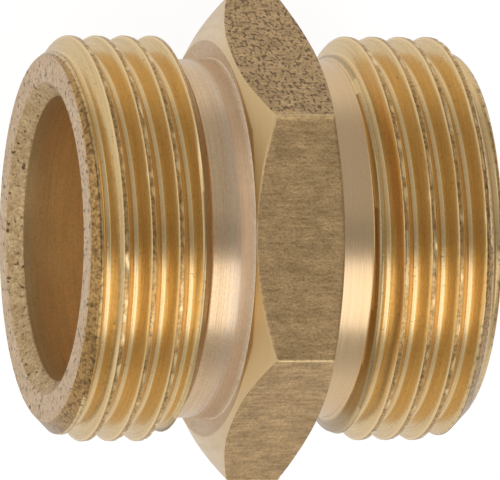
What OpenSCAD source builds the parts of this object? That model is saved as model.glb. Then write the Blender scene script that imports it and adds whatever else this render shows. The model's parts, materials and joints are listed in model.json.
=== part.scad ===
/* [Thread] */
// Major diameter of both external threads (G 1 parallel pipe thread)
thread_d = 33.249; // [32.5:0.001:34.4]
// Distance between neighbouring turns, 11 turns per inch
thread_pitch = 2.309; // [2.2:0.001:2.4]
// Angle between the two flanks of the thread
flank_angle = 55; // [50:1:60]
// Length of the threaded zone on the left end
left_thread_l = 10.3; // [8:0.1:14]
// Length of the threaded zone on the right end
right_thread_l = 10.8; // [8:0.1:14]

// Angle at which the left groove starts
left_thread_start = 245; // [5:10:355]
// Angle at which the right groove starts
right_thread_start = 15; // [5:10:355]

/* [Hexagon] */
// Width across the flats
hex_af = 34.5; // [34:0.5:40]
// Width between the two turned faces of the hexagon
hex_w = 7.44; // [6.5:0.01:10]
// Chamfer angle on the left side of the hexagon, from the turned face
left_chamfer_angle = 31.5; // [15:0.5:35]
// Chamfer angle on the right side of the hexagon, from the turned face
right_chamfer_angle = 18; // [15:1:35]
// Depth to which the left face of the hexagon is dished where it meets the neck
left_dish = 0.74; // [0:0.01:0.8]
// Diameter of the rim between that dished face and the left chamfer
left_rim_d = 32.5; // [31:0.1:34]

/* [Necks] */
// Diameter of the plain necks between the threads and the hexagon
neck_d = 29.4; // [28.5:0.1:29.8]
// Length of the left neck
left_neck_l = 3.01; // [3:0.01:8]
// Length of the right neck
right_neck_l = 3.15; // [3:0.05:8]
// Radius of the fillet where a neck meets the hexagon
fillet_r = 0.3; // [0.2:0.1:0.8]

// Slope of the shoulder where a thread drops to its neck
shoulder_angle = 30; // [20:5:45]

/* [Bore] */
// Diameter of the through bore
bore_d = 23.3; // [18:0.1:25]
// Depth of the 45 degree chamfer at each mouth of the bore
mouth_chamfer = 1.2; // [0.5:0.1:1.4]

/* [Ends] */
// Outer diameter of the flat sealing face on each end
face_d = 29.8; // [28.8:0.1:31]

/* [Quality] */
// Steps in one turn of the thread
steps_per_turn = 36; // [28:4:44]

/* [Hidden] */
$fn = 96;

// Fundamental triangle of the thread and its truncated form
triangle_h = thread_pitch / (2 * tan(flank_angle / 2));
thread_depth = 2 * triangle_h / 3;
land_w = thread_pitch / 6;
crest_r = thread_d / 2;
root_r = crest_r - thread_depth;

// The cutter stands this far clear of the surfaces it leaves
clear = 0.25;

// Depth to which each neck's core runs into its neighbours
core_lap = 2;

neck_r = neck_d / 2;
face_r = face_d / 2;
bore_r = bore_d / 2;
flat_r = hex_af / 2;
corner_r = flat_r / cos(30);

// Stations along the axis, with the origin halfway along the body
body_l = left_thread_l + left_neck_l + hex_w + right_neck_l + right_thread_l;
left_end = -body_l / 2;
left_shoulder = left_end + left_thread_l;
hex_left = left_shoulder + left_neck_l;
hex_right = hex_left + hex_w;
right_shoulder = hex_right + right_neck_l;
right_end = body_l / 2;

// Helical groove: a trapezoid swept around the axis from z = 0 over the
// given length, right-handed, open towards the outside
function helix_point(turn, z, r) = [r * cos(360 * turn), r * sin(360 * turn), z + turn * thread_pitch];

function groove_section(turn, lift) =
    let (
        root_half = land_w / 2,
        mouth_half = root_half + (thread_depth + lift) * tan(flank_angle / 2)
    )
    [
        helix_point(turn, -mouth_half, crest_r + lift),
        helix_point(turn, -root_half, root_r),
        helix_point(turn, root_half, root_r),
        helix_point(turn, mouth_half, crest_r + lift)
    ];

module groove(length) {
    steps = ceil(length / thread_pitch * steps_per_turn);
    corners = 4;
    points = [for (i = [0:steps]) each groove_section(i / steps_per_turn, clear)];
    sides = [
        for (i = [0:steps - 1], k = [0:corners - 1])
            let (a = i * corners + k, b = i * corners + (k + 1) % corners)
            each [[a, a + corners, b + corners], [a, b + corners, b]]
    ];
    first_cap = [for (k = [0:corners - 1]) k];
    last_cap = [for (k = [corners - 1:-1:0]) steps * corners + k];
    polyhedron(points = points, faces = concat(sides, [first_cap, last_cap]));
}

// Turned blank of one threaded end, from its neck side at z = 0 to the
// sealing face at z = length
module threaded_blank(length) {
    chamfer = crest_r - face_r;
    shoulder = (crest_r - neck_r) * tan(shoulder_angle);
    rotate_extrude()
        polygon([
            [0, 0], [neck_r, 0], [crest_r, shoulder],
            [crest_r, length - chamfer], [face_r, length], [0, length]
        ]);
}

module threaded_end(length, start) {
    difference() {
        threaded_blank(length);
        translate([0, 0, -thread_pitch]) rotate([0, 0, start]) groove(length + 2 * thread_pitch);
    }
}

// Neck with a concave fillet against the hexagon at z = 0, its core running
// on into the solids at both ends
module neck(length) {
    arc_steps = 4;
    fillet = [
        for (i = [0:arc_steps])
            let (a = 90 * i / arc_steps)
            [neck_r + fillet_r * (1 - sin(a)), fillet_r * (1 - cos(a))]
    ];
    rotate_extrude()
        polygon(concat(
            [[0, -core_lap], [neck_r + fillet_r, -core_lap]], fillet,
            [[neck_r, length + core_lap], [0, length + core_lap]]
        ));
}

// Hexagonal prism turned down to a cone on each side, z = 0 at the rim of its
// left face, which is dished from the rim inwards to the neck
module hexagon() {
    rim_r = left_rim_d / 2;
    left_rise = (corner_r + clear - rim_r) * tan(left_chamfer_angle);
    right_rise = (corner_r + clear - flat_r) * tan(right_chamfer_angle);
    intersection() {
        rotate([0, 0, 30]) cylinder(r = corner_r, h = hex_w, $fn = 6);
        rotate_extrude()
            polygon([
                [0, left_dish], [neck_r, left_dish], [rim_r, 0], [corner_r + clear, left_rise],
                [corner_r + clear, hex_w - right_rise], [flat_r, hex_w], [0, hex_w]
            ]);
    }
}

// Straight bore with a chamfered mouth at each end
module bore() {
    mouth_r = bore_r + mouth_chamfer;
    rotate_extrude()
        polygon([
            [0, left_end - clear], [mouth_r + clear, left_end - clear],
            [bore_r, left_end + mouth_chamfer], [bore_r, right_end - mouth_chamfer],
            [mouth_r + clear, right_end + clear], [0, right_end + clear]
        ]);
}

// One piece of brass, turned about its bore axis
module nipple_body() {
    color("goldenrod")
        rotate([0, 90, 0])
            difference() {
                union() {
                    translate([0, 0, left_shoulder]) rotate([180, 0, 0])
                        threaded_end(left_thread_l, left_thread_start);
                    translate([0, 0, hex_left + left_dish]) rotate([180, 0, 0])
                        neck(left_neck_l + left_dish);
                    translate([0, 0, hex_left]) hexagon();
                    translate([0, 0, hex_right]) neck(right_neck_l);
                    translate([0, 0, right_shoulder]) threaded_end(right_thread_l, right_thread_start);
                }
                bore();
            }
}

nipple_body();
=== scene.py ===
"""A turned brass hexagon nipple on a plain pale floor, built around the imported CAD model.

The whole body is one closed skin of rings about the bore axis, +X. An angle phi is measured
from +Y towards +Z. Lengths in the mesh part are millimetres, and the mesh is in metres.
"""

from collections import namedtuple
import math

import bpy
import numpy as np
from mathutils import Matrix, Vector
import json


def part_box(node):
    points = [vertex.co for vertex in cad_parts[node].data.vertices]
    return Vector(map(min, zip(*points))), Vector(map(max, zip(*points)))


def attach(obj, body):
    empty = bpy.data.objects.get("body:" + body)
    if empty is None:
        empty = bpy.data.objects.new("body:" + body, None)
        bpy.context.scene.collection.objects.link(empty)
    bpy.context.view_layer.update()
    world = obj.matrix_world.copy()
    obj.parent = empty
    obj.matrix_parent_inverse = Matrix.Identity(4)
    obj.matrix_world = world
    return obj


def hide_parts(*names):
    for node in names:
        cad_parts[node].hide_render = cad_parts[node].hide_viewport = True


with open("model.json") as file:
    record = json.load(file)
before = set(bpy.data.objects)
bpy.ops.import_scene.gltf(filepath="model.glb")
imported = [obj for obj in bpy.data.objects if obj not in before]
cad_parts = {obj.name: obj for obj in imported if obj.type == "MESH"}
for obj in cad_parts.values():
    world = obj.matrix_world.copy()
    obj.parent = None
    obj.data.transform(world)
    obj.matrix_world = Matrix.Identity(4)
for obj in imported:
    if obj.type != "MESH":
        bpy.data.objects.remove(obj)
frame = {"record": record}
bpy.context.view_layer.update()

MM = 0.001
FULL_TURN = 2 * math.pi
PIECE = "brass_nipple"
NODE = "nipple_body"


# ---- Sizes: from the frame, from the thread's standard, or repeated from the CAD model ----

mounts = {m["name"]: m for m in frame["record"]["mounts"]}
low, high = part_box(NODE)

left_end = low.x / MM
right_end = high.x / MM
corner_r = high.y / MM
flat_r = high.z / MM
bore_r = mounts["through_bore"]["dims"]["r_mm"]
crest_r = mounts["left_thread"]["dims"]["r_mm"]

# A 55 degree thread, whose crests and roots are flats a sixth of the pitch wide
thread_pitch = 2.309
flank_tan = math.tan(math.radians(55 / 2))
thread_depth = thread_pitch / flank_tan / 3
land_w = thread_pitch / 6
root_r = crest_r - thread_depth

left_thread_l = 10.3
right_thread_l = 10.8
left_neck_l = 3.01
hex_w = 7.44
left_dish = 0.74
neck_r = 14.7
face_r = 14.9
mouth_chamfer = 1.2
mouth_r = bore_r + mouth_chamfer

# Half the CAD model's fillet, so that the highlight on it stays narrow
fillet_r = 0.15

left_shoulder = left_end + left_thread_l
hex_left = left_shoulder + left_neck_l
hex_right = hex_left + hex_w
right_shoulder = right_end - right_thread_l
shoulder_tan = math.tan(math.radians(30))
left_chamfer_tan = math.tan(math.radians(31.5))
right_chamfer_tan = math.tan(math.radians(18))

# Radius at which the chamfers of the hexagon begin. These differ from the CAD model in two ways:
# the left rim is out of centre towards +Z, and the right one lies a little inside the flats.
left_rim_r = 16.25
left_rim_shift = 0.82
right_rim_inset = 0.15
right_rim_r = flat_r - right_rim_inset

# Angles at which a groove's centre crosses each shoulder
left_phase = 335.0
right_phase = 75.0

# Columns around the body, and rows in one pitch of thread
THREAD_COLUMNS = 330
HEX_COLUMNS_PER_SIDE = 80
BORE_COLUMNS = 180
ROWS_PER_PITCH = 17

# Places of the rings that join a thread to its neighbours, from its end and from its shoulder
END_GAP = 0.1
SHOULDER_GAP = 0.03

# The bore's mouth: how far its rounded lip runs, and how deep the chamfer's first ring lies
LIP = 0.03
MOUTH_GAP = 0.1


# ---- Camera ----

def add_camera():
    """A distant camera, so nearly without perspective; returns its backward, right and up axes"""
    distance = 1000.0
    tilt = math.radians(15.4)
    pixels_per_mm = 12.18
    image_w = 500
    sensor_w = 36.0
    towards = Vector((-math.sin(tilt), 0, math.cos(tilt)))
    right = Vector((math.cos(tilt), 0, math.sin(tilt)))
    up = Vector((0, 1, 0))
    aim_right = 0.12
    aim_down = 0.13
    aim = right * aim_right - up * aim_down
    data = bpy.data.cameras.new("camera")
    data.sensor_width = sensor_w
    data.lens = sensor_w * distance * pixels_per_mm / image_w
    data.clip_start = 0.05
    data.clip_end = 20
    camera = bpy.data.objects.new("camera", data)
    camera.matrix_world = matrix_of(right, up, towards, (aim + towards * distance) * MM)
    bpy.context.scene.collection.objects.link(camera)
    bpy.context.scene.camera = camera
    return towards, right, up


def matrix_of(x_axis, y_axis, z_axis, place):
    """The matrix of an object with these axes at this place"""
    rows = [[x_axis[i], y_axis[i], z_axis[i], place[i]] for i in range(3)]
    return Matrix(rows + [[0, 0, 0, 1]])


# ---- Numbers ----

def smooth_min(a, b, k):
    """The lower of a and b, rounded where they differ by less than k"""
    h = np.clip(0.5 + 0.5 * (b - a) / k, 0, 1)
    return b * (1 - h) + a * h - k * h * (1 - h)


def smooth_max(a, b, k):
    return -smooth_min(-a, -b, k)


def value_noise(u, v, u_cells, v_cells, seed):
    """Smooth noise from 0 to 1 on a grid of random values; it repeats each time u or v passes 1"""
    grid = np.random.default_rng(seed).random((u_cells, v_cells))
    u = np.asarray(u) * u_cells
    v = np.asarray(v) * v_cells
    i = np.floor(u).astype(int)
    j = np.floor(v).astype(int)
    s = u - i
    t = v - j
    s = s * s * (3 - 2 * s)
    t = t * t * (3 - 2 * t)
    a = grid[i % u_cells, j % v_cells]
    b = grid[(i + 1) % u_cells, j % v_cells]
    c = grid[i % u_cells, (j + 1) % v_cells]
    d = grid[(i + 1) % u_cells, (j + 1) % v_cells]
    return (a * (1 - s) + b * s) * (1 - t) + (c * (1 - s) + d * s) * t


def above(noise, level):
    """0 up to the level, then rising to 1"""
    return np.clip((noise - level) / (1 - level), 0, 1)


# ---- The skin: rings of points, joined by faces ----

BORE, MOUTH, FACE, THREAD, NECK, RECESS, CHAMFER, FLAT = range(8)


class Skin:
    """A mesh that grows ring by ring, with a zone for each face and two numbers for each point.

    tone means, in the thread, how deep a point lies in the groove, from 0 at the crest to 1 at
    the root and more along the foot of a flank, where a pale line is painted as a highlight; in
    the neck, how close it is to the hexagon; in the flats, how close to an edge, which is
    burnished and painted pale as a highlight; in the bore, how close to the left mouth.
    thread_end is 1 on the chamfer at a thread's end, -1 on its shoulder and 0 elsewhere.
    """

    def __init__(self):
        self.points = []
        self.tone = []
        self.thread_end = []
        self.faces = []
        self.zones = []
        self.count = 0

    def add_points(self, x, r, phi, tone=0.0, thread_end=0.0):
        """Points in cylindrical form; returns their indices in the shape of phi"""
        x, r, phi, tone, thread_end = np.broadcast_arrays(x, r, phi, tone, thread_end)
        self.points.append(np.stack([x, r * np.cos(phi), r * np.sin(phi)], -1).reshape(-1, 3))
        self.tone.append(np.asarray(tone, float).reshape(-1))
        self.thread_end.append(np.asarray(thread_end, float).reshape(-1))
        first = self.count
        self.count += phi.size
        return np.arange(first, self.count).reshape(phi.shape)

    def add_face(self, corners, zone):
        """One face without its repeated corners, or none if fewer than three are left"""
        kept = [c for k, c in enumerate(corners) if c != corners[k - 1]]
        if len(kept) >= 3:
            self.faces.append(kept)
            self.zones.append(zone)

    def bridge(self, first, second, zone):
        """Quads between two rings with the same columns"""
        after_first = np.roll(first, -1)
        after_second = np.roll(second, -1)
        for corners in zip(first, after_first, after_second, second):
            self.add_face(corners, zone)

    def stitch(self, first, first_phi, second, second_phi, zone):
        """Triangles between two rings with different columns, both with angles rising from 0"""
        n, m = len(first), len(second)
        i = j = 0
        while i < n or j < m:
            next_first = first_phi[i + 1] if i + 1 < n else FULL_TURN
            next_second = second_phi[j + 1] if j + 1 < m else FULL_TURN
            a, b = first[i % n], second[j % m]
            if j >= m or (i < n and next_first <= next_second):
                self.add_face([a, first[(i + 1) % n], b], zone)
                i += 1
            else:
                self.add_face([a, second[(j + 1) % m], b], zone)
                j += 1

    def sweep(self, start, rows, phi, zone):
        """A run of rings, each (x, r) or (x, r, tone), bridged one after another from a ring"""
        ring = start
        for x, r, *tone in rows:
            ring = self.grow(ring, x, r, phi, zone, *tone)
        return ring

    def grow(self, ring, x, r, phi, zone, tone=0.0):
        """One new ring, bridged to a ring with the same columns"""
        new = self.add_points(x, r, phi, tone)
        self.bridge(ring, new, zone)
        return new


def even_angles(count):
    return FULL_TURN * np.arange(count) / count


# ---- Thread ----

def thread_profile(offset, edge_r, sharp_edge_r):
    """Radius of the bare thread at a distance from its groove's centre, + towards +X"""
    root_round = 0.07
    crest_round = 0.16
    sharp_crest_round = 0.06
    flank = root_r + (np.abs(offset) - land_w / 2) / flank_tan
    body = smooth_max(flank, root_r, root_round)
    left_side = smooth_min(body, sharp_edge_r, sharp_crest_round)
    right_side = smooth_min(body, edge_r, crest_round)
    return np.where(offset > 0, right_side, left_side)


def pitch_rows():
    """Places along one pitch, closer together where the profile bends"""
    samples = 2000
    crowding = 0.9
    fine = np.linspace(-0.5, 0.5, samples + 1)
    r = thread_profile(fine * thread_pitch, crest_r, crest_r)
    step = thread_pitch / samples
    slope = np.gradient(r, step)
    density = 1 + crowding * np.abs(np.gradient(np.arctan(slope), step))
    reach = np.concatenate([[0], np.cumsum((density[1:] + density[:-1]) / 2)])
    reach /= reach[-1]
    return np.interp(np.arange(ROWS_PER_PITCH) / ROWS_PER_PITCH, reach, fine)


def thread_zone(skin, x_first, x_last, shoulder_x, phase, end_x, seed):
    """Helical rows between two plane rings; returns those two rings"""
    phi = even_angles(THREAD_COLUMNS)
    turn = phi / FULL_TURN
    start = shoulder_x + thread_pitch * (turn + phase / 360)
    rows = pitch_rows()
    lowest = math.floor((x_first - start.max()) / thread_pitch) - 1
    highest = math.ceil((x_last - start.min()) / thread_pitch) + 1
    fraction = np.concatenate([rows + k for k in range(lowest, highest + 1)])
    offset = np.concatenate([rows] * (highest - lowest + 1)) * thread_pitch
    x = start[None, :] + thread_pitch * fraction[:, None]
    offset = np.broadcast_to(offset[:, None], x.shape)

    worn_r, tone = worn_thread(fraction, turn, offset, seed)
    r, tone, thread_end = run_out(x, worn_r, tone, shoulder_x, end_x)

    row_gap = 0.02
    inside = (x > x_first + row_gap) & (x < x_last - row_gap)
    index = np.zeros(x.shape, int)
    phi_all = np.broadcast_to(phi[None, :], x.shape)
    index[inside] = skin.add_points(x[inside], r[inside], phi_all[inside],
                                    tone[inside], thread_end[inside])
    first = skin.add_points(x_first, radius_of_cones(x_first, end_x, shoulder_x), phi)
    last = skin.add_points(x_last, radius_of_cones(x_last, end_x, shoulder_x), phi)
    nearer_end = np.where(x < (x_first + x_last) / 2, first[None, :], last[None, :])
    join_helical_rows(skin, np.where(inside, index, nearer_end))
    return first, last


def worn_thread(fraction, turn, offset, seed):
    """Radius and tone of a thread with nicked and dented crests, before its ends are cut"""
    # Length along the helix in turns, so that the wear follows the thread and meets at the seam
    along = np.floor(fraction + 0.5)[:, None] + turn[None, :]
    turns = 12
    u = along / turns
    v = offset / thread_pitch + 0.5
    nick = above(value_noise(u, v, turns * 150, 7, seed), 0.62)
    dent = above(value_noise(u, v, turns * 60, 5, seed + 1), 0.78)
    wave = value_noise(u, 0.5, turns * 26, 2, seed + 2) - 0.5

    # Depths of a slow wave, of the sharp edge's wear and nicks, and of dents in the crest
    wave_depth = 0.01
    sharp_edge_wear = 0.015
    sharp_edge_nick = 0.04
    line_wear = 0.02
    line_nick = 0.09
    dent_depth = 0.05

    crest_start = land_w / 2 + thread_depth * flank_tan
    edge_w = 0.17
    ramp_w = 0.1
    crest_edge = np.exp(-(((offset + crest_start) / edge_w) ** 2))
    crest = np.clip((np.abs(offset) - crest_start + ramp_w) / ramp_w, 0, 1)
    edge_r = crest_r - wave_depth + wave_depth * wave
    sharp_edge_r = crest_r - sharp_edge_wear - sharp_edge_nick * nick
    r = thread_profile(offset, edge_r, sharp_edge_r)
    r = r - crest_edge * (line_nick * nick + line_wear) - crest * dent_depth * dent

    # A painted highlight: a pale line along the foot of the flank that faces the left end
    foot_w = 0.06
    foot_highlight_strength = 0.8
    painted_foot_highlight = foot_highlight_strength * np.exp(-(((offset - land_w / 2) / foot_w) ** 2))
    return r, np.clip((crest_r - r) / thread_depth, 0, 1) + painted_foot_highlight


def run_out(x, r, tone, shoulder_x, end_x):
    """Cut both ends of a thread: the chamfer at the sealing face, and the shoulder at the neck"""
    end_cone = face_r + np.abs(x - end_x)
    shoulder_cone = neck_r + np.abs(x - shoulder_x) / shoulder_tan
    on_shoulder = shoulder_cone < r
    shoulder_tone = 0.5
    tone = np.where(r < np.minimum(end_cone, shoulder_cone), tone, 0.0)
    tone = np.where(on_shoulder, shoulder_tone, tone)
    margin = 0.1
    near_chamfer = end_cone < r + margin
    thread_end = np.where(near_chamfer, 1.0, np.where(on_shoulder, -1.0, 0.0))
    edge_round = 0.14
    r = smooth_min(r, end_cone, edge_round)
    return smooth_min(r, shoulder_cone, edge_round), tone, thread_end


def join_helical_rows(skin, index):
    """Faces between helical rows; the last column joins the first one a pitch further on"""
    last_row = len(index) - 1
    last_column = THREAD_COLUMNS - 1
    for i in range(last_row):
        here = [*index[i], index[min(i + ROWS_PER_PITCH, last_row)][0]]
        next_row = [*index[i + 1], index[min(i + 1 + ROWS_PER_PITCH, last_row)][0]]
        for j in range(THREAD_COLUMNS):
            skin.add_face([here[j], here[j + 1], next_row[j + 1], next_row[j]], THREAD)

    # The first turn's seam: rows of the first column that no row of the last column reaches
    for i in range(ROWS_PER_PITCH):
        skin.add_face([index[0][last_column], index[i][0], index[i + 1][0]], THREAD)


def radius_of_cones(x, end_x, shoulder_x):
    return min(face_r + abs(x - end_x), neck_r + abs(x - shoulder_x) / shoulder_tan)


# ---- Hexagon ----

def hexagon_angles():
    """Column angles, closer together near the corners, which lie at 0, 60, 120 degrees and so on"""
    crowding = 0.72
    s = np.arange(HEX_COLUMNS_PER_SIDE) / HEX_COLUMNS_PER_SIDE * 2 - 1
    across = (1 - crowding) * s + crowding * np.sin(s * math.pi / 2)
    lean = np.arctan(across * math.tan(math.pi / 6))
    return np.concatenate([math.radians(30 + 60 * side) + lean for side in range(6)])


def hexagon_radius(phi):
    """Outline of the flats, with a small burr along each edge"""
    lean = lean_from_flat(phi)
    other = math.pi / 3 - np.abs(lean)
    corner_round = 5e-4
    inverse = smooth_max(np.cos(lean) / flat_r, np.cos(other) / flat_r, corner_round)
    set_back = 0.06
    burr_height = 0.085
    burr_w = 0.17
    return 1 / inverse - set_back + burr_height * edge_closeness(phi, burr_w)


def edge_closeness(phi, reach):
    """1 along each edge between two flats, falling to 0 within about twice the reach"""
    from_edge = (math.pi / 6 - np.abs(lean_from_flat(phi))) * corner_r
    return np.exp(-((from_edge / reach) ** 2))


def lean_from_flat(phi):
    """Angle from the middle of the nearest flat"""
    return np.mod(phi, math.pi / 3) - math.pi / 6


def hexagon_zone(skin, start, phi):
    """From a ring on the left turned face, over the hexagon, to a ring on the right turned face"""
    outline = hexagon_radius(phi)
    rim = left_rim(phi)
    left_edge = hex_left + (outline - rim) * left_chamfer_tan
    right_edge = hex_right - (outline - right_rim_r) * right_chamfer_tan
    # A narrow strip on each side of an edge, narrower still where the chamfer is short
    round_w = np.minimum(0.05, 0.4 * np.minimum(left_edge - hex_left, hex_right - right_edge))
    turn = phi / FULL_TURN

    def cone(x):
        left_cone = rim + (x - hex_left) / left_chamfer_tan
        right_cone = right_rim_r + (hex_right - x) / right_chamfer_tan
        return np.minimum(left_cone, right_cone)

    def surface(x):
        depth = (x - hex_left) / hex_w
        pit = 0.035 * above(value_noise(turn, depth, 620, 36, 41), 0.72)
        hollow = 0.03 * value_noise(turn, depth, 60, 5, 42)
        groove = 0.018 * value_noise(turn, depth, 400, 2, 43)
        rim_round = 0.06
        return smooth_min(outline - pit - hollow - groove, cone(x), rim_round)

    ring = start
    steps = 6
    rows = 24
    for k in range(1, steps + 1):
        x = hex_left + (left_edge - round_w - hex_left) * k / steps
        ring = skin.grow(ring, x, surface(x), phi, CHAMFER)
    for k in range(rows + 1):
        x = left_edge + round_w * 0.6 + (right_edge - left_edge - 1.2 * round_w) * k / rows
        # How far the burnished edge, painted pale as a highlight, reaches from each edge of a flat
        reach = 0.05 + 0.11 * value_noise(turn, k / rows, 6, 17, 44)
        ring = skin.grow(ring, x, surface(x), phi, FLAT, edge_closeness(phi, reach))
    for k in range(steps):
        x = hex_right - (hex_right - right_edge - round_w) * (1 - k / steps)
        ring = skin.grow(ring, x, surface(x), phi, CHAMFER)
    return ring


def left_rim(phi):
    """Radius at which the left chamfer begins"""
    return left_rim_r + left_rim_shift * np.sin(phi)


def dished_face(r, phi):
    """Place of the left face of the hexagon, between its neck and its rim"""
    rim = left_rim(phi)
    return hex_left + left_dish * (rim - r) / (rim - neck_r)


# ---- Necks and sealing faces ----

FILLET_ANGLES = [25, 50, 70, 90]


def neck_rows(shoulder_x, face_x, seed):
    """Rings (x, r, tone) from the foot of the shoulder to the top of the fillet"""
    way = 1 if face_x > shoulder_x else -1
    length = abs(face_x - shoulder_x)
    rng = np.random.default_rng(seed)
    rows = [(shoulder_x - way * SHOULDER_GAP, neck_r + 0.04), (shoulder_x + way * 0.05, neck_r)]
    for x in np.linspace(0.18, length - 1.4, 7):
        rows.append((shoulder_x + way * x, neck_r - 0.006 * rng.random()))
    # Shallow tool marks beside the hexagon
    for mark, cut in ((1.15, 0.004), (0.5, 0.002)):
        for offset, depth in ((-0.12, 0), (0, cut), (0.12, 0.2 * cut)):
            rows.append((shoulder_x + way * (length - mark + offset), neck_r - depth))
    for a in np.radians(FILLET_ANGLES):
        x = length - fillet_r + fillet_r * math.sin(a)
        rows.append((shoulder_x + way * x, neck_r + fillet_r * (1 - math.cos(a))))
    fade_w = 2.4
    return [(x, r, np.clip(1.1 - abs(face_x - x) / fade_w, 0, 1)) for x, r in rows]


def face_rows(radii, x, way, seed, phi):
    """Rings of a sealing face at the given radii, with pits cut into it along way"""
    turn = phi / FULL_TURN
    rows = []
    for r in radii:
        pit = above(value_noise(turn, r / 3, 300, 9, seed), 0.7)
        rows.append((x + way * (0.004 + 0.05 * pit), r))
    return rows


# ---- Whole body ----

round_phi = even_angles(THREAD_COLUMNS)
face_radii = np.linspace(mouth_r + 0.06, face_r - 0.08, 8)

# The rounded rim of a sealing face, and the circle on which a turned face of the hexagon starts
rim_x = 0.035
rim_r = face_r + 0.01
turned_face_r = neck_r + fillet_r + 0.1


def left_half(skin):
    """Left sealing face, thread and neck; returns the ring on the bore's lip and the last ring"""
    lip = skin.add_points(left_end + LIP, mouth_r - LIP, round_phi)
    ring = skin.sweep(lip, face_rows(face_radii, left_end, 1, 11, round_phi), round_phi, FACE)
    ring = skin.grow(ring, left_end + rim_x, rim_r, round_phi, FACE)
    first, last = thread_zone(skin, left_end + END_GAP, left_shoulder - SHOULDER_GAP,
                              left_shoulder, left_phase, left_end, seed=21)
    skin.bridge(ring, first, FACE)
    rows = neck_rows(left_shoulder, hex_left + left_dish, seed=5)[1:]
    fillet_rows = len(FILLET_ANGLES)
    ring = skin.sweep(last, rows[:-fillet_rows], round_phi, NECK)
    ring = skin.sweep(ring, rows[-fillet_rows:], round_phi, RECESS)
    return lip, ring


def middle(skin, ring):
    """The hexagon with its left and right turned faces; returns the ring at the right neck"""
    hex_phi = np.sort(np.mod(hexagon_angles(), FULL_TURN), kind="stable")
    ring = skin.grow(ring, dished_face(turned_face_r, round_phi), turned_face_r, round_phi, RECESS)
    outer_r = turned_face_r + 0.15
    hex_ring = skin.add_points(dished_face(outer_r, hex_phi), outer_r, hex_phi)
    skin.stitch(ring, round_phi, hex_ring, hex_phi, RECESS)
    for part in (0.3, 0.6, 0.85, 0.97):
        r = outer_r + part * (left_rim(hex_phi) - outer_r)
        hex_ring = skin.grow(hex_ring, dished_face(r, hex_phi), r, hex_phi, RECESS)
    hex_ring = skin.grow(hex_ring, hex_left + 0.005, left_rim(hex_phi), hex_phi, CHAMFER)
    hex_ring = hexagon_zone(skin, hex_ring, hex_phi)
    for r in (right_rim_r - 0.05, 16.8, 16.4, 15.9, turned_face_r + 0.3):
        hex_ring = skin.grow(hex_ring, hex_right, r, hex_phi, CHAMFER)
    ring = skin.add_points(hex_right, turned_face_r, round_phi)
    skin.stitch(hex_ring, hex_phi, ring, round_phi, CHAMFER)
    return ring


def right_half(skin, ring):
    """Right neck, thread and sealing face; returns the ring on the bore's lip"""
    rows = neck_rows(right_shoulder, hex_right, seed=6)[::-1]
    ring = skin.sweep(ring, rows[:-1], round_phi, NECK)
    first, last = thread_zone(skin, right_shoulder + SHOULDER_GAP, right_end - END_GAP,
                              right_shoulder, right_phase, right_end, seed=31)
    skin.bridge(ring, first, NECK)
    ring = skin.grow(last, right_end - rim_x, rim_r, round_phi, FACE)
    rows = face_rows(face_radii[::-1], right_end, -1, 12, round_phi)
    ring = skin.sweep(ring, rows, round_phi, FACE)
    return skin.grow(ring, right_end - LIP, mouth_r - LIP, round_phi, FACE)


def bore(skin, right_lip, left_lip):
    """The bore and its two mouths, from the right lip to the left one"""
    phi = even_angles(BORE_COLUMNS)
    mouth_depths = [0.5, 0.9, mouth_chamfer - 0.04]
    ring = skin.add_points(right_end - MOUTH_GAP, mouth_r - MOUTH_GAP, phi)
    skin.stitch(right_lip, round_phi, ring, phi, FACE)
    for depth in mouth_depths:
        ring = skin.grow(ring, right_end - depth, mouth_r - depth, phi, MOUTH)
    shade_l = 2.0
    start = mouth_chamfer + 0.06
    for x in np.linspace(right_end - start, left_end + start, 24):
        closeness = math.exp(-(x - left_end - mouth_chamfer) / shade_l)
        ring = skin.grow(ring, x, bore_r, phi, BORE, closeness)
    for depth in mouth_depths[::-1]:
        ring = skin.grow(ring, left_end + depth, mouth_r - depth, phi, MOUTH)
    ring = skin.grow(ring, left_end + MOUTH_GAP, mouth_r - MOUTH_GAP, phi, MOUTH)
    skin.stitch(ring, phi, left_lip, round_phi, FACE)


def build_skin():
    """The whole nipple, from the left sealing face over the outside and back through the bore"""
    skin = Skin()
    left_lip, ring = left_half(skin)
    ring = middle(skin, ring)
    right_lip = right_half(skin, ring)
    bore(skin, right_lip, left_lip)
    return skin


def mesh_of(skin):
    """A Blender mesh in metres, with the skin's zones as material slots"""
    points = np.concatenate(skin.points) * MM
    mesh = bpy.data.meshes.new(PIECE)
    mesh.from_pydata(points.tolist(), [], [[int(c) for c in f] for f in skin.faces])
    mesh.polygons.foreach_set("material_index", skin.zones)
    mesh.polygons.foreach_set("use_smooth", [True] * len(skin.faces))
    tone = mesh.attributes.new("tone", "FLOAT", "POINT")
    tone.data.foreach_set("value", np.concatenate(skin.tone))
    thread_end = mesh.attributes.new("thread_end", "FLOAT", "POINT")
    thread_end.data.foreach_set("value", np.concatenate(skin.thread_end))
    mesh.update()
    return mesh


# ---- Nodes ----

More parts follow.
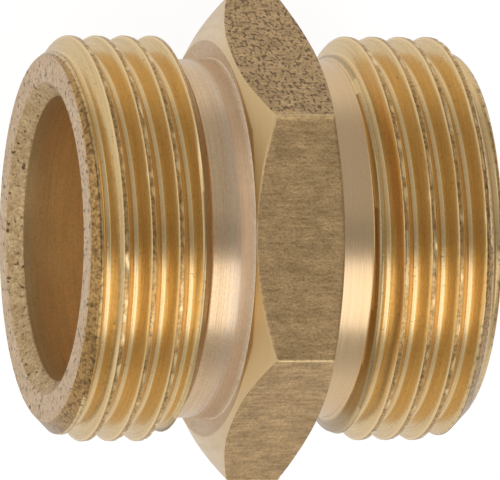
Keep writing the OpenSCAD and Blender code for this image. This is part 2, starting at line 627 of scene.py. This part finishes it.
class Nodes:
    """Short names for the few nodes that the materials and the sky share"""

    def __init__(self, tree):
        self.tree = tree

    def add(self, kind, **settings):
        node = self.tree.nodes.new(kind)
        for key, value in settings.items():
            setattr(node, key, value)
        return node

    def link(self, source, target):
        self.tree.links.new(source, target)

    def spread(self, value, low_in, high_in, low_out, high_out):
        """Map one range of numbers onto another, and stop at its ends"""
        node = self.add("ShaderNodeMapRange")
        node.inputs["From Min"].default_value = low_in
        node.inputs["From Max"].default_value = high_in
        node.inputs["To Min"].default_value = low_out
        node.inputs["To Max"].default_value = high_out
        self.link(value, node.inputs["Value"])
        return node.outputs["Result"]

    def times(self, a, b):
        node = self.add("ShaderNodeMath", operation="MULTIPLY")
        self.link(a, node.inputs[0])
        self.link(b, node.inputs[1])
        return node.outputs["Value"]

    def position(self, axis, space="Object"):
        split = self.add("ShaderNodeSeparateXYZ")
        self.link(self.add("ShaderNodeTexCoord").outputs[space], split.inputs["Vector"])
        return split.outputs[axis]

    def mix(self, fac, a, b):
        """a where fac is 0, b where it is 1; either may be a socket or a colour"""
        node = self.add("ShaderNodeMix", data_type="RGBA")
        self.link(fac, node.inputs["Factor"])
        for socket, value in ((node.inputs[6], a), (node.inputs[7], b)):
            if hasattr(value, "is_output"):
                self.link(value, socket)
            else:
                socket.default_value = (*value, 1)
        return node.outputs[2]


class Finish(Nodes):
    """The nodes of one material"""

    def __init__(self, name):
        self.material = bpy.data.materials.new(name)
        self.material.use_nodes = True
        super().__init__(self.material.node_tree)
        self.shader = self.tree.nodes["Principled BSDF"]
        self.colour = None

    def recolour(self, colour):
        self.colour = colour
        self.link(colour, self.shader.inputs["Base Color"])

    def lay_over(self, fac, colour):
        """Mix one more colour over what the surface has"""
        self.recolour(self.mix(fac, self.colour, colour))

    def attribute(self, name):
        return self.add("ShaderNodeAttribute", attribute_name=name).outputs["Fac"]

    def noise(self, scale, detail=3.0, rough=0.6):
        """Noise on the object's coordinates, multiplied by a scale along each axis"""
        mapping = self.add("ShaderNodeMapping")
        mapping.inputs["Scale"].default_value = scale
        self.link(self.add("ShaderNodeTexCoord").outputs["Object"], mapping.inputs["Vector"])
        node = self.add("ShaderNodeTexNoise")
        node.inputs["Scale"].default_value = 1.0
        node.inputs["Detail"].default_value = detail
        node.inputs["Roughness"].default_value = rough
        self.link(mapping.outputs["Vector"], node.inputs["Vector"])
        return node.outputs["Fac"]

    def bump(self, height, depth, before=None):
        node = self.add("ShaderNodeBump")
        node.inputs["Strength"].default_value = 1.0
        node.inputs["Distance"].default_value = depth
        self.link(height, node.inputs["Height"])
        if before is not None:
            self.link(before, node.inputs["Normal"])
        return node.outputs["Normal"]


# ---- Brass ----

# Noise scales are per metre along X, Y and Z, and depths are in metres
Grain = namedtuple("Grain", "scale depth")
Pits = namedtuple("Pits", "scale level softness depth darkness")

BRASS = (0.93, 0.68, 0.42)
GOLD_BRASS = (0.93, 0.68, 0.34)
DRAWN_BRASS = (0.84, 0.575, 0.29)
# Pale brass, painted as highlights along the thread, and over real burnish along the flats' edges
PALE_BRASS = (1.0, 0.75, 0.40)
DARK = (0.11, 0.06, 0.025)

# Scale of the marks that a lathe leaves: close together along X, and long around the axis
TURNED = (9000, 70, 70)


def cube(scale):
    return (scale, scale, scale)


def brass(name, bright, dull, mottle, speckle, grain, roughness, pits, pitted_above=None):
    """Metal whose colour wanders between bright and dull, with grain cut along one direction.

    mottle is the scale of that wandering, speckle is how strongly fine marks darken the colour,
    and roughness is its lowest and highest value. pitted_above is the Y, in metres, above which
    the pits have their full depth.
    """
    n = Finish(name)
    n.shader.inputs["Metallic"].default_value = 1.0
    n.recolour(n.mix(n.spread(n.noise(mottle, 4), 0.35, 0.65, 0, 1), bright, dull))
    cut = n.noise(grain.scale, 3)
    n.lay_over(n.spread(cut, 0.35, 0.7, 0, speckle), DARK)
    n.lay_over(n.spread(n.noise(cube(5000), 2), 0.4, 0.7, 0, speckle), DARK)
    pit = n.spread(n.noise(pits.scale, 2, 0.5), pits.level, pits.level + pits.softness, 0, 1)
    if pitted_above is not None:
        step_w = 2e-4
        least = 0.25
        above_it = n.spread(n.position("Y"), pitted_above, pitted_above + step_w, least, 1)
        pit = n.times(pit, above_it)
    n.lay_over(n.spread(pit, 0, 1, 0, pits.darkness), DARK)
    n.link(n.spread(cut, 0.3, 0.7, *roughness), n.shader.inputs["Roughness"])
    normal = n.bump(cut, grain.depth)
    normal = n.bump(n.spread(pit, 0, 1, 1, 0), pits.depth, normal)
    n.link(normal, n.shader.inputs["Normal"])
    return n


def bore_brass():
    n = brass("brass_bore", (1.0, 0.73, 0.36), (0.90, 0.63, 0.29), mottle=(500, 160, 160),
              speckle=0.2, grain=Grain(TURNED, 6e-6), roughness=(0.42, 0.52),
              pits=Pits(cube(2500), 0.72, 0.16, 1e-5, 0.5))
    n.shader.inputs["Metallic"].default_value = 0.85
    mouth_shade = 0.55
    n.lay_over(n.spread(n.attribute("tone"), 0, 1, 0, mouth_shade), DARK)
    return n


def mouth_brass():
    return brass("brass_mouth", (0.90, 0.67, 0.38), (0.68, 0.47, 0.24), mottle=cube(900),
                 speckle=0.35, grain=Grain(cube(3500), 1.5e-5), roughness=(0.42, 0.55),
                 pits=Pits(cube(2000), 0.6, 0.1, 4e-5, 0.9))


def face_brass():
    return brass("brass_end_face", (0.95, 0.71, 0.46), (0.84, 0.61, 0.38), mottle=cube(700),
                 speckle=0.25, grain=Grain(cube(3500), 1e-5), roughness=(0.35, 0.5),
                 pits=Pits(cube(2000), 0.59, 0.1, 4e-5, 0.8))


def thread_brass():
    """Golden flanks with pale lines painted as highlights at foot and top, nicked crests, pitted
    ends, and painted shade on the shoulders
    """
    n = brass("brass_thread", GOLD_BRASS, GOLD_BRASS, mottle=cube(500), speckle=0.14,
              grain=Grain(TURNED, 5e-6), roughness=(0.2, 0.3),
              pits=Pits(cube(3000), 0.64, 0.16, 1e-5, 0.5))
    depth = n.attribute("tone")
    rubbed = n.spread(n.noise(cube(3600), 3), 0.45, 0.62, 0, 0.6)
    crest_colour = n.mix(rubbed, (0.64, 0.39, 0.15), DARK)
    # Painted highlights: a pale line along the foot of a flank, and one along the top of each flank
    # beside the crest
    n.lay_over(n.spread(depth, 1.2, 1.6, 0, 0.8), PALE_BRASS)
    n.lay_over(n.spread(depth, 0.1, 0.18, 1, 0), PALE_BRASS)
    n.lay_over(n.spread(depth, 0.015, 0.05, 1, 0), crest_colour)
    thread_end = n.attribute("thread_end")
    hole = n.spread(n.noise(cube(2200), 3), 0.5, 0.62, 0.1, 0.65)
    n.lay_over(n.times(hole, thread_end), DARK)
    # Painted shade on the shoulders
    shoulder_shade = 0.5
    n.lay_over(n.spread(thread_end, -1, 0, shoulder_shade, 0), DARK)
    return n


def turned_brass():
    """The necks: paler beside the hexagon, and more golden on the right"""
    n = brass("brass_turned", BRASS, (0.87, 0.62, 0.38), mottle=(900, 60, 60), speckle=0.16,
              grain=Grain(TURNED, 7e-6), roughness=(0.2, 0.32),
              pits=Pits(cube(3000), 0.72, 0.16, 1e-5, 0.6))
    n.lay_over(n.attribute("tone"), (0.80, 0.68, 0.57))
    n.lay_over(n.spread(n.position("X"), 0, 0.001, 0, 0.8), (0.86, 0.61, 0.34))
    return n


def recess_brass():
    return brass("brass_recess", (1.0, 0.85, 0.67), (0.96, 0.81, 0.63), mottle=cube(400),
                 speckle=0.1, grain=Grain(cube(2500), 5e-6), roughness=(0.42, 0.52),
                 pits=Pits(cube(2200), 0.74, 0.16, 1e-5, 0.6))


def chamfer_brass():
    """The turned cones and faces of the hexagon, with a painted reflection of deeper gold in front
    """
    n = brass("brass_chamfer", (0.97, 0.76, 0.50), (0.92, 0.71, 0.45), mottle=cube(250),
              speckle=0.1, grain=Grain((2500, 80, 80), 3e-6), roughness=(0.26, 0.36),
              pits=Pits(cube(2200), 0.74, 0.16, 1e-5, 0.6))
    # Painted reflection: a deeper gold on the front, towards +Z
    n.lay_over(n.spread(n.position("Z"), 0.004, 0.012, 0, 0.9), (0.79, 0.56, 0.28))
    return n


def flat_brass():
    """The drawn flats: deep pits on the upper ones, and burnished edges painted pale as a highlight
    """
    n = brass("brass_drawn_flat", DRAWN_BRASS, (0.62, 0.42, 0.21), mottle=(600, 900, 900),
              speckle=0.3, grain=Grain((700, 3600, 3600), 1.7e-5), roughness=(0.4, 0.5),
              pits=Pits((4000, 4000, 1100), 0.52, 0.1, 3.5e-5, 0.75),
              pitted_above=corner_r / 2 * MM)
    # Burnished edges, painted pale as a highlight
    n.lay_over(n.attribute("tone"), PALE_BRASS)
    return n


def make_materials():
    """One material for each zone, in the order of the zone numbers"""
    finishes = (bore_brass, mouth_brass, face_brass, thread_brass,
                turned_brass, recess_brass, chamfer_brass, flat_brass)
    return [finish().material for finish in finishes]


# ---- Floor, light and sky ----

def add_floor():
    """A pale floor under the lowest flat, which glows almost white so that no edge shows"""
    z = -flat_r * MM
    half = 3.0
    mesh = bpy.data.meshes.new("floor")
    mesh.from_pydata([(-half, -half, z), (half, -half, z), (half, half, z), (-half, half, z)],
                     [], [(0, 1, 2, 3)])
    floor = bpy.data.objects.new("floor", mesh)
    bpy.context.scene.collection.objects.link(floor)
    n = Finish("pale_floor")
    n.shader.inputs["Base Color"].default_value = (0.35, 0.35, 0.35, 1)
    n.shader.inputs["Roughness"].default_value = 1.0
    n.shader.inputs["Specular IOR Level"].default_value = 0.0
    n.shader.inputs["Emission Color"].default_value = (1, 1, 1, 1)
    n.shader.inputs["Emission Strength"].default_value = 0.85
    mesh.materials.append(n.material)
    floor.visible_glossy = False


def add_card(name, direction, up, width, height, radiance):
    """A soft rectangle of light, 1 m from the object and facing it, that the camera doesn't see"""
    z_axis = direction.normalized()
    x_axis = up.cross(z_axis).normalized()
    y_axis = z_axis.cross(x_axis)
    data = bpy.data.lights.new(name, "AREA")
    data.shape = "RECTANGLE"
    data.size = width
    data.size_y = height
    data.energy = radiance * math.pi * width * height
    light = bpy.data.objects.new(name, data)
    light.matrix_world = matrix_of(x_axis, y_axis, z_axis, z_axis)
    light.visible_camera = False
    bpy.context.scene.collection.objects.link(light)


def add_sky(upper, lower, band, seen):
    """One colour towards +Z, another towards -Z, and a band across the +Z side near Y = 0.

    Camera rays meet the colour seen instead.
    """
    world = bpy.data.worlds.new("studio")
    bpy.context.scene.world = world
    world.use_nodes = True
    n = Nodes(world.node_tree)
    n.tree.nodes.clear()
    upper_side = n.spread(n.position("Z", "Generated"), -0.25, 0.15, 0, 1)
    off_level = n.add("ShaderNodeMath", operation="ABSOLUTE")
    n.link(n.position("Y", "Generated"), off_level.inputs[0])
    in_band = n.times(n.spread(off_level.outputs["Value"], 0.06, 0.3, 1, 0), upper_side)
    lower_to_upper = n.mix(upper_side, lower, upper)
    with_band = n.mix(in_band, lower_to_upper, band)
    camera_ray = n.add("ShaderNodeLightPath").outputs["Is Camera Ray"]
    background = n.add("ShaderNodeBackground")
    n.link(n.mix(camera_ray, with_band, seen), background.inputs["Color"])
    n.link(background.outputs["Background"], n.add("ShaderNodeOutputWorld").inputs["Surface"])


def add_lights(towards, right, up):
    """A card below the front whose reflection shows along the threads, and one on the left"""
    key_angle = math.radians(37)
    mirror = Vector((-towards.x, 0, towards.z))
    key = mirror * math.cos(key_angle) - up * math.sin(key_angle)
    add_card("key_softbox", key, right, width=0.80, height=0.9, radiance=0.95)
    left = Vector((-0.82, 0, 0.57))
    add_card("left_softbox", left, up, width=1.1, height=2.2, radiance=0.5)


# ---- Scene ----

towards, right, up = add_camera()
bpy.context.scene.view_settings.view_transform = "Standard"
add_sky((0.42, 0.41, 0.40), (0.72, 0.71, 0.70), (0.27, 0.265, 0.26), (0.97, 0.97, 0.97))
add_lights(towards, right, up)
add_floor()

mesh = mesh_of(build_skin())
for material in make_materials():
    mesh.materials.append(material)
nipple = bpy.data.objects.new(PIECE, mesh)
bpy.context.scene.collection.objects.link(nipple)
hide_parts(NODE)
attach(nipple, "root")

bpy.context.view_layer.update()
